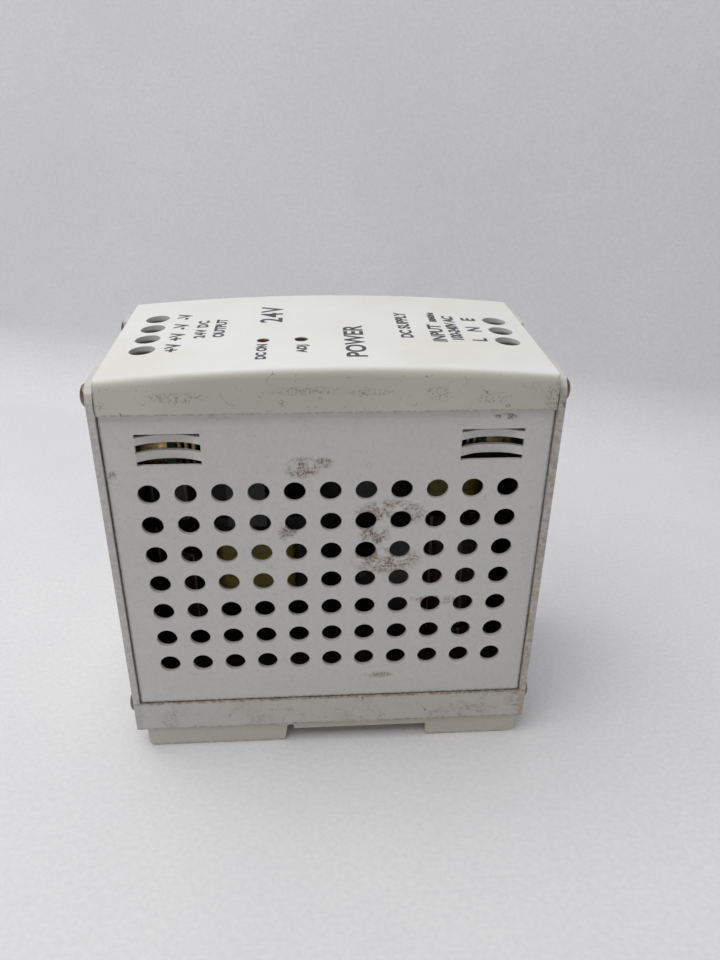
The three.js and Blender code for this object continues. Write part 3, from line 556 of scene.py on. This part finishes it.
def cylinder_between(made, start, end, radius, sides=32):
    """A closed cylinder between two points, as a cutter."""
    axis = (end - start).normalized()
    turn = axis.to_track_quat("Z", "Y").to_matrix().to_4x4()
    place = Matrix.Translation((start + end) / 2) @ turn
    bmesh.ops.create_cone(made, cap_ends=True, segments=sides, radius1=radius, radius2=radius,
                          depth=(end - start).length, matrix=place)


def box_between(made, low, high):
    middle = (Vector(low) + Vector(high)) / 2
    size = Vector(high) - Vector(low)
    place = Matrix.Translation(middle) @ Matrix.Diagonal((*size, 1))
    bmesh.ops.create_cube(made, size=1, matrix=place)


def cut_mesh(mesh, cutter_mesh):
    """The mesh with the cutter's bodies taken away."""
    target = bpy.data.objects.new("target", mesh)
    cutter = bpy.data.objects.new("cutter", cutter_mesh)
    for piece in (target, cutter):
        bpy.context.scene.collection.objects.link(piece)
    boolean = target.modifiers.new("cut", "BOOLEAN")
    boolean.operation = "DIFFERENCE"
    boolean.solver = "EXACT"
    boolean.object = cutter
    bpy.context.view_layer.update()
    graph = bpy.context.evaluated_depsgraph_get()
    result = bpy.data.meshes.new_from_object(target.evaluated_get(graph))
    for piece in (target, cutter):
        bpy.data.objects.remove(piece)
    return result


# ---- Side panels ----
LOUVRE_HALF = 6.6 * MM
LOUVRE_CENTRES = (-33.1 * MM, 33.9 * MM)
LOUVRE_TOP = SKIRT_BOTTOM - 4.5 * MM
LOUVRE_HEIGHT = 7.2 * MM
LOUVRE_STRIPS = ((0.8 * MM, 2.5 * MM), (4.3 * MM, 6.2 * MM))
LOUVRE_BOW = 1.7 * MM
LOUVRE_SLOPE = 3.2 * MM
BEND_RADIUS = 0.9 * MM
SCREW_FROM_FACE = 4.7 * MM
LOWER_SCREW_RISE = 3.15 * MM
SCREW_HOLE = 1.6 * MM


def panel_tray(made, side, low, high):
    """Bent tray section, swept up the panel: flat front and a flange at each end."""
    outer = side * max(abs(low.y), abs(high.y))
    flange = side * min(abs(low.y), abs(high.y))
    half = high.x
    inner_radius = 0.15 * MM
    corner_y = outer - side * BEND_RADIUS
    outside = [(-half, flange)]
    inside = [(-half + SHEET, flange)]
    for end in (-1, 1):
        turn = (180, 90) if end < 0 else (90, 0)
        centre = end * (half - BEND_RADIUS)
        outside += [(x, corner_y + side * y) for x, y in arc((centre, 0), BEND_RADIUS, *turn, 5)]
        inner_centre = end * (half - SHEET - inner_radius)
        inner_y = outer - side * (SHEET + inner_radius)
        inside += [(x, inner_y + side * y) for x, y in arc((inner_centre, 0), inner_radius, *turn, 2)]
    outside.append((half, flange))
    inside.append((half - SHEET, flange))
    section = outside + list(reversed(inside))
    loft(made, [[(x, y, z) for x, y in section] for z in (low.z, high.z)])


def panel_cutters(made, side, low, high):
    outer = side * max(abs(low.y), abs(high.y))
    across = sorted((outer + side * MM, outer - side * (SHEET + MM)))
    for row in range(VENT_ROWS):
        for column in range(VENT_COLUMNS):
            x = (column - (VENT_COLUMNS - 1) / 2) * VENT_PITCH
            z = VENT_CENTRE_Z + (row - (VENT_ROWS - 1) / 2) * VENT_PITCH
            cylinder_between(made, Vector((x, across[0], z)), Vector((x, across[1], z)), VENT_RADIUS, 36)
    for centre in LOUVRE_CENTRES:
        box_between(made, (centre - LOUVRE_HALF, across[0], LOUVRE_TOP - LOUVRE_HEIGHT),
                    (centre + LOUVRE_HALF, across[1], LOUVRE_TOP))
    box_between(made, (low.x - MM, across[0], low.z - MM), (high.x + MM, across[1], PANEL_BOTTOM))
    flange_middle = side * (PANEL_FACE - SCREW_FROM_FACE)
    for z in (low.z + LOWER_SCREW_RISE, UPPER_SCREW_Z):
        cylinder_between(made, Vector((low.x - MM, flange_middle, z)),
                         Vector((high.x + MM, flange_middle, z)), SCREW_HOLE)


def louvre_strips(made, side, low, high):
    """The lanced strips of both louvres, bowed into the case with softened bends."""
    outer = side * max(abs(low.y), abs(high.y))
    soften = 1.0 * MM
    steps = 28
    for centre in LOUVRE_CENTRES:
        for top, bottom in LOUVRE_STRIPS:
            rings = []
            for step in range(steps + 1):
                x = -LOUVRE_HALF + 2 * LOUVRE_HALF * step / steps
                run = (LOUVRE_HALF - abs(x)) / LOUVRE_SLOPE
                depth = LOUVRE_BOW * (1 - math.log1p(math.exp((1 - run) * LOUVRE_SLOPE / soften))
                                      * soften / LOUVRE_SLOPE)
                y = outer - side * max(depth, 0)
                heights = (LOUVRE_TOP - bottom, LOUVRE_TOP - top)
                rings.append([(centre + x, y, heights[0]), (centre + x, y, heights[1]),
                              (centre + x, y - side * SHEET, heights[1]),
                              (centre + x, y - side * SHEET, heights[0])])
            loft(made, rings)


def make_side_panel(node, side):
    low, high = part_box(node)
    tray = mesh_from(node + "_tray", lambda made: panel_tray(made, side, low, high))
    cutters = mesh_from(node + "_cut", lambda made: panel_cutters(made, side, low, high))
    strips = mesh_from(node + "_strips", lambda made: louvre_strips(made, side, low, high))
    whole = bmesh.new()
    whole.from_mesh(cut_mesh(tray, cutters))
    whole.from_mesh(strips)
    mesh = bpy.data.meshes.new(node + "_sheet")
    whole.to_mesh(mesh)
    whole.free()
    shade_smooth(mesh, 40)
    piece = make_object(node + "_sheet", mesh, "case", "panel_paint")
    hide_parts(node)
    round_edges(piece, 0.18 * MM, 2, 50)


# ---- Front cover ----
COVER_RADIUS = 2.2 * MM
COVER_WALL = 1.6 * MM
SKIRT_WALL = 0.85 * MM
COVER_STATIONS = 48
SCREW_OPENING = 2.75 * MM
TERMINAL_HALF_PITCH = 3.65 * MM


def cover_shell(made):
    half = cover_high.y
    bottom = SKIRT_BOTTOM
    skirt = half - SKIRT_WALL
    under = COVER_END_Z - COVER_WALL
    inner_radius = 1.2 * MM
    outer_left = arc((-half + COVER_RADIUS, COVER_END_Z - COVER_RADIUS), COVER_RADIUS, 180, 90, 8)
    outer_right = arc((half - COVER_RADIUS, COVER_END_Z - COVER_RADIUS), COVER_RADIUS, 90, 0, 8)
    inner_right = arc((skirt - inner_radius, under - inner_radius), inner_radius, 0, 90, 4)
    inner_left = arc((-skirt + inner_radius, under - inner_radius), inner_radius, 90, 180, 4)
    foot = [(-skirt, bottom), (-half, bottom)]
    section = (foot + [(-half, bottom + 4 * MM)] + outer_left + [(0, COVER_END_Z)] + outer_right
               + [(half, bottom + 4 * MM), (half, bottom), (skirt, bottom)] + inner_right + inner_left)
    rings = []
    for station in range(COVER_STATIONS + 1):
        x = cover_low.x + (cover_high.x - cover_low.x) * station / COVER_STATIONS
        rings.append([(x, y, z + (crown(x) if z > bottom + MM / 10 else 0)) for y, z in section])
    loft(made, rings)


def cover_bosses(made):
    """The four lugs inside the corners that the upper case screws hold."""
    panel_end = near_high.x
    inner = far_low.y
    for end in (-1, 1):
        for side in (-1, 1):
            xs = sorted((end * (panel_end - 1.2 * MM), end * (panel_end - 9 * MM)))
            ys = sorted((side * (inner + 0.1 * MM), side * (far_high.y - 1.3 * MM)))
            box_between(made, (xs[0], ys[0], UPPER_SCREW_Z - 4.5 * MM),
                        (xs[1], ys[1], COVER_END_Z - 0.6 * MM))


def screw_spots(row):
    """Centres of the terminal screws of one row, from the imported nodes."""
    names = sorted(name for name in nodes if name.startswith("terminal_screw_" + row))
    return [(name, sum(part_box(name), Vector()) / 2) for name in names]


def tube(made, centre, inner, outer, bottom, top, sides=40):
    """An upright tube round a point, open at both ends."""
    def ring(radius, z):
        return [(centre.x + radius * math.cos(angle), centre.y + radius * math.sin(angle), z)
                for angle in (2 * math.pi * side / sides for side in range(sides))]

    loops = [ring(inner, bottom), ring(outer, bottom), ring(outer, top), ring(inner, top)]
    loft(made, loops + loops[:1], True, False)


def cover_inside(made):
    """Sleeves that lead a screwdriver to each terminal screw, and the wall at each end."""
    for row in ("output", "input"):
        spots = screw_spots(row)
        for _, centre in spots:
            top = COVER_END_Z - COVER_WALL + crown(centre.x) + 0.3 * MM
            tube(made, centre, SCREW_OPENING + 0.02 * MM, SCREW_OPENING + 0.7 * MM,
                 cover_low.z + 0.2 * MM, top)
        side = math.copysign(1, spots[0][1].x)
        reach = spots[-1][1].y + TERMINAL_HALF_PITCH + 0.1 * MM
        ends = sorted((side * cover_high.x, side * (cover_high.x - 1.2 * MM)))
        box_between(made, (ends[0], -reach, cover_low.z), (ends[1], reach, COVER_END_Z - 1.2 * MM))


def cover_cutters(made):
    def drill(x, y, radius, sides=40):
        cylinder_between(made, Vector((x, y, COVER_END_Z - 4 * MM)),
                         Vector((x, y, COVER_END_Z + 4 * MM)), radius, sides)

    for row in ("output", "input"):
        for _, centre in screw_spots(row):
            drill(centre.x, centre.y, SCREW_OPENING)
    led = sum(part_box("power_led"), Vector()) / 2
    rotor = sum(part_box("trimmer_rotor"), Vector()) / 2
    drill(led.x, led.y, 1.35 * MM, 28)
    drill(rotor.x, rotor.y, 1.45 * MM, 28)


def make_cover():
    shell = mesh_from("cover_shell", cover_shell)
    cutters = mesh_from("cover_cut", cover_cutters)
    whole = bmesh.new()
    whole.from_mesh(cut_mesh(shell, cutters))
    whole.from_mesh(mesh_from("cover_lugs", cover_bosses))
    whole.from_mesh(mesh_from("cover_sleeves", cover_inside))
    mesh = bpy.data.meshes.new("arched_cover")
    whole.to_mesh(mesh)
    whole.free()
    shade_smooth(mesh, 40)
    piece = make_object("arched_cover", mesh, "case", "cover_plastic")
    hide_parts("front_cover")
    round_edges(piece, 0.18 * MM, 3, 50)


# ---- Printed marks on the cover ----
# The words read from the near side to the far one, with their tops towards the output end.
def printed(name, words, x, y, height, spread=1.0):
    """Flat lettering with its middle at a point, laid on the arched cover."""
    text = bpy.data.curves.new(name, "FONT")
    text.body = words
    text.size = height * 1.4
    text.offset = 0.16 * MM
    text.align_x = "CENTER"
    text.align_y = "CENTER"
    text.space_character = spread
    text.resolution_u = 4
    source = bpy.data.objects.new(name + "_source", text)
    bpy.context.scene.collection.objects.link(source)
    bpy.context.view_layer.update()
    graph = bpy.context.evaluated_depsgraph_get()
    mesh = bpy.data.meshes.new_from_object(source.evaluated_get(graph))
    bpy.data.objects.remove(source)
    lift = 0.012 * MM
    for vertex in mesh.vertices:
        along, across = vertex.co.x, vertex.co.y
        vertex.co = (x - across, y + along, COVER_END_Z + crown(x - across) + lift)
    return make_object(name, mesh, "case", "print_ink")


# Each line of print: words, x and y of its middle, letter height and letter spacing.
COVER_PRINT = {
    "output": ("OUTPUT", -23.5, 0.8, 2.3, 1.0),
    "output_kind": ("24V DC", -27.6, 0.8, 2.3, 1.2),
    "size": ("24V", -12.1, 9.4, 5.0, 1.15),
    "led": ("DC ON", -13.7, -16.2, 2.0, 1.0),
    "trimmer": ("ADJ", -5.4, -14.9, 1.9, 1.1),
    "title": ("POWER", 6.0, -10.4, 4.2, 1.0),
    "subtitle": ("DC SUPPLY", 17.6, 1.2, 2.6, 1.0),
    "input": ("INPUT", 24.6, -4.0, 3.0, 1.0),
    "input_rate": ("50/60Hz", 24.9, 7.8, 1.5, 1.0),
    "input_kind": ("100-240V AC", 28.7, 0.2, 2.5, 0.9),
}
POLES = {"output": (("+V", "+V", "-V", "-V"), 6.5 * MM), "input": (("L", "N", "E"), -6.1 * MM)}


def make_prints():
    for name, (words, x, y, height, spread) in COVER_PRINT.items():
        printed("print_" + name, words, x * MM, y * MM, height * MM, spread)
    for row, (words, offset) in POLES.items():
        for index, (word, (_, centre)) in enumerate(zip(words, screw_spots(row))):
            printed(f"print_{row}_{index + 1}", word, centre.x + offset, centre.y, 3.2 * MM)


# ---- Screws ----
def screw_profile(radius, shank, head, length):
    """Half section of a pan-head screw from its tip to the top of its head."""
    points = [(shank * 0.7, -length), (shank, -length + shank * 0.4), (shank, 0), (radius * 0.97, 0)]
    points += [(radius, head * 0.15), (radius, head * 0.35)]
    for step in range(1, 7):
        angle = math.pi / 2 * step / 7
        points.append((radius * (0.45 + 0.55 * math.cos(angle)), head * (0.35 + 0.65 * math.sin(angle))))
    points.append((radius * 0.3, head))
    return points


def make_screw(name, axis, shank, head, recess, body, look):
    """A finer screw in the place of a CAD one, its head at the far end along the axis."""
    low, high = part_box(name)
    size = high - low
    along = max(range(3), key=lambda index: abs(axis[index]))
    radius = min(size[index] for index in range(3) if index != along) / 2
    centre = (low + high) / 2
    seat = centre + Vector(axis) * (size[along] / 2 - head)
    place = Matrix.Translation(seat) @ Vector(axis).to_track_quat("Z", "Y").to_matrix().to_4x4()
    sides = 40  # facets round the screw

    def build(made):
        profile = screw_profile(radius, shank, head, size[along] - head)
        loft(made, [[(r * math.cos(a), r * math.sin(a), z)
                     for a in (2 * math.pi * side / sides for side in range(sides))]
                    for r, z in profile])
        made.transform(place)

    def recess_cut(half_x, half_y):
        def build_cutter(made):
            box_between(made, (-half_x, -half_y, head * 0.5), (half_x, half_y, head * 2))
            made.transform(place)
        return mesh_from(name + "_recess", build_cutter)

    wide, narrow = radius * 0.58, 0.28 * MM
    mesh = cut_mesh(mesh_from(name + "_turned", build), recess_cut(wide, narrow))
    if recess == "cross":
        mesh = cut_mesh(mesh, recess_cut(narrow, wide))
    shade_smooth(mesh, 40)
    piece = make_object(name + "_fine", mesh, body, look)
    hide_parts(name)


def make_screws():
    for name in sorted(nodes):
        if name.startswith("case_screw"):
            axis = (-1, 0, 0) if "output" in name else (1, 0, 0)
            make_screw(name, axis, 1.4 * MM, 1.8 * MM, "cross", "case", "rusted_steel")
        elif name.startswith("adapter_screw"):
            make_screw(name, (0, 0, -1), 1.4 * MM, 1.6 * MM, "cross", "case", "plated_steel")
        elif name.startswith("board_screw"):
            make_screw(name, (0, -1, 0), 1.4 * MM, 1.8 * MM, "cross", "case", "plated_steel")
        elif name.startswith("terminal_screw"):
            body = name.replace("terminal_screw", "screw")
            make_screw(name, (0, 0, 1), 1.65 * MM, 2.2 * MM, "slot", body, "plated_steel")


make_side_panel("side_panel_near", -1)
make_side_panel("side_panel_far", 1)
make_cover()
make_prints()
make_screws()


# ---- CAD nodes that keep their shape ----
def finish_nodes():
    """Gives each shown CAD node its material and softly rounded edges."""
    slots = {part["node"]: part["material_slot"] for part in frame["record"]["subparts"]}
    for name, node in nodes.items():
        node.data.materials.clear()
        node.data.materials.append(looks[slots[name]])
        if name == "latch_spring":
            node.modifiers.new("rounded_wire", "SUBSURF").render_levels = 2
            continue
        small = name.startswith(("contact_", "clamp_cage_", "trimmer_rotor", "power_led"))
        round_edges(node, (0.08 if small else 0.2) * MM)


finish_nodes()


# ---- Floor, lights and camera ----
BACKDROP_TURN = math.radians(-17)
BACKDROP_AWAY = 150 * MM
BACKDROP_BEND = 30 * MM
BACKDROP_HEIGHT = 1.0
BEND_STEPS = 16
FLOOR_HALF = 1.6
FLOOR_FRONT = -1.2
CAMERA_LENS = 30.3
CAMERA_SENSOR = 36
CAMERA_PLACE = Vector((-4.4, -175.8, 155.7)) * MM
CAMERA_YAW = math.radians(-4.04)
CAMERA_PITCH = math.radians(28.3)
CAMERA_ROLL = math.radians(0.72)


def make_floor():
    """A pale floor that sweeps up into a backdrop behind the object."""
    look = Look("floor_paper", (0.78, 0.78, 0.79), 0.75)
    soft = look.ramp(look.noise(60 * MM, 3, 0.5), 0.3, 0.7)
    grain = look.ramp(look.noise(1.3 * MM, 3, 0.6), 0.3, 0.7, 0.0, 0.35)
    sheet = look.mix(soft, (0.77, 0.77, 0.785), (0.80, 0.80, 0.81))
    look.colour(look.mix(grain, sheet, (0.66, 0.66, 0.68)))
    look.bump(look.noise(1.3 * MM, 3, 0.6), 0.12 * MM)
    def build(made):
        profile = [(FLOOR_FRONT, 0.0), (BACKDROP_AWAY, 0.0)]
        for step in range(1, BEND_STEPS + 1):
            angle = math.pi / 2 * step / BEND_STEPS
            profile.append((BACKDROP_AWAY + BACKDROP_BEND * math.sin(angle),
                            BACKDROP_BEND * (1 - math.cos(angle))))
        profile.append((BACKDROP_AWAY + BACKDROP_BEND, BACKDROP_HEIGHT))
        loft(made, [[(x, y, z) for y, z in profile] for x in (-FLOOR_HALF, FLOOR_HALF)], False, False)
        made.transform(Matrix.Rotation(BACKDROP_TURN, 4, "Z"))

    mesh = mesh_from("floor", build)
    mesh.shade_smooth()
    floor = bpy.data.objects.new("floor", mesh)
    bpy.context.scene.collection.objects.link(floor)
    mesh.materials.append(look.material)


def area_light(name, place, target, size, power, colour=(1, 1, 1)):
    light = bpy.data.lights.new(name, "AREA")
    light.shape = "RECTANGLE"
    light.size, light.size_y = size
    light.energy = power
    light.color = colour
    lamp = bpy.data.objects.new(name, light)
    lamp.location = place
    lamp.rotation_euler = (Vector(target) - Vector(place)).to_track_quat("-Z", "Y").to_euler()
    bpy.context.scene.collection.objects.link(lamp)


def make_lights():
    world = bpy.data.worlds.new("studio")
    world.use_nodes = True
    background = world.node_tree.nodes["Background"]
    background.inputs["Color"].default_value = (0.93, 0.95, 1.0, 1)
    background.inputs["Strength"].default_value = 0.30
    bpy.context.scene.world = world
    area_light("window", (-0.28, 0.06, 0.85), (-0.05, 0.06, 0), (1.3, 0.8), 8.9, (1, 0.99, 0.97))


def make_camera():
    """The photograph's viewing angle: from the near side, looking down at the cover."""
    lens = bpy.data.cameras.new("camera")
    lens.lens = CAMERA_LENS
    lens.sensor_width = CAMERA_SENSOR
    camera = bpy.data.objects.new("camera", lens)
    turn = (Matrix.Rotation(CAMERA_YAW, 4, "Z")
            @ Matrix.Rotation(math.pi / 2 - CAMERA_PITCH, 4, "X")
            @ Matrix.Rotation(CAMERA_ROLL, 4, "Z"))
    camera.matrix_world = Matrix.Translation(CAMERA_PLACE) @ turn
    bpy.context.scene.collection.objects.link(camera)
    bpy.context.scene.camera = camera


make_floor()
make_lights()
make_camera()
bpy.context.scene.view_settings.view_transform = "Standard"
